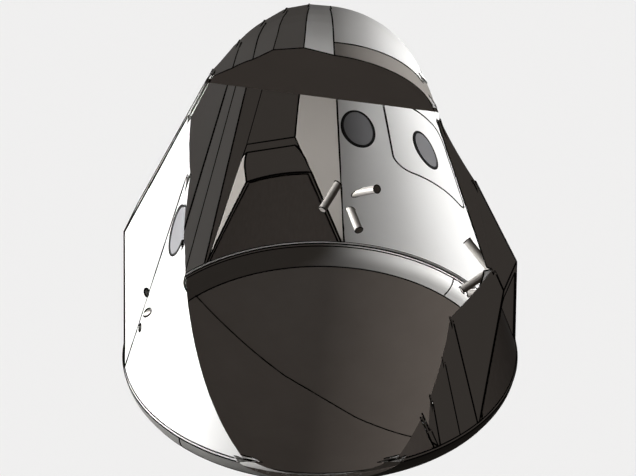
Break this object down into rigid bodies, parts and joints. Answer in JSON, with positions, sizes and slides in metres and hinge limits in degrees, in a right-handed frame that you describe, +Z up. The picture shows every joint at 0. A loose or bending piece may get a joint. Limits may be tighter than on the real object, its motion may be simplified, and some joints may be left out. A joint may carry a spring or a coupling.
{
  "type": "crew space capsule",
  "caption": "Cone-shaped crew capsule with a domed hinged nose, side hatches with windows, engine pods over exhaust scoops, thruster tubes and a dished heat shield.",
  "frame": {"origin": "middle of the heat shield's crown, where it meets the floor", "axes": "+Z up to the nose, +X out through the right hatch, +Y toward the pods beside the side windows"},
  "size_m": [3.9998, 3.9998, 4.6609],
  "materials": {
    "hull_skin": "glossy white paint",
    "pod_skin": "glossy white paint",
    "scoop_liner": "dark heat-proof coating",
    "heat_shield": "dark ablative composite, satin",
    "deck_plate": "dark satin paint",
    "thruster_metal": "machined",
    "fitting_metal": "brushed",
    "window_frame": "black anodised",
    "window_glass": "dark tinted pane"
  },
  "bodies": {
    "capsule": {"aft_ring": "hull_skin", "forward_deck": "deck_plate", "hatch_hinge_left": "fitting_metal", "hatch_hinge_right": "fitting_metal", "heat_shield_dish": "heat_shield", "heat_shield_rim": "heat_shield", "nose_hinge": "fitting_metal", "pod_back_left": "pod_skin", "pod_back_right": "pod_skin", "pod_front_left": "pod_skin", "pod_front_right": "pod_skin", "scoop_wall_back_left": "scoop_liner", "scoop_wall_back_right": "scoop_liner", "scoop_wall_front_left": "scoop_liner", "scoop_wall_front_right": "scoop_liner", "side_wall_left": "hull_skin", "side_wall_right": "hull_skin", "side_window_left_frame": "window_frame", "side_window_left_pane": "window_glass", "side_window_right_frame": "window_frame", "side_window_right_pane": "window_glass", "spine_back_left": "hull_skin", "spine_back_right": "hull_skin", "spine_front_left": "hull_skin", "spine_front_right": "hull_skin", "thrusters_back_left": "thruster_metal", "thrusters_back_right": "thruster_metal", "thrusters_front_left": "thruster_metal", "thrusters_front_right": "thruster_metal"},
    "nose": {"nose_cone": "hull_skin", "nose_skirt": "hull_skin", "nose_strap": "fitting_metal"},
    "hatch_door_left": {"hatch_left": "hull_skin", "hatch_strap_left": "fitting_metal", "hatch_window_left_frame": "window_frame", "hatch_window_left_pane": "window_glass"},
    "hatch_door_right": {"hatch_right": "hull_skin", "hatch_strap_right": "fitting_metal", "hatch_window_right_frame": "window_frame", "hatch_window_right_pane": "window_glass"}
  },
  "joints": [
    {"name": "nose_hinge", "type": "hinge", "parent": "capsule", "child": "nose", "pos_m": [-1.15658, 0, 3.81389], "axis": [0, -1, 0], "range_deg": [0, 100]},
    {"name": "hatch_hinge_right", "type": "hinge", "parent": "capsule", "child": "hatch_door_right", "pos_m": [1.35455, -0.64174, 2.45133], "axis": [0.2445, -0.1159, -0.9627], "range_deg": [0, 105]},
    {"name": "hatch_hinge_left", "type": "hinge", "parent": "capsule", "child": "hatch_door_left", "pos_m": [-1.35455, -0.64174, 2.45133], "axis": [0.2445, 0.1159, 0.9627], "range_deg": [0, 105]}
  ]
}
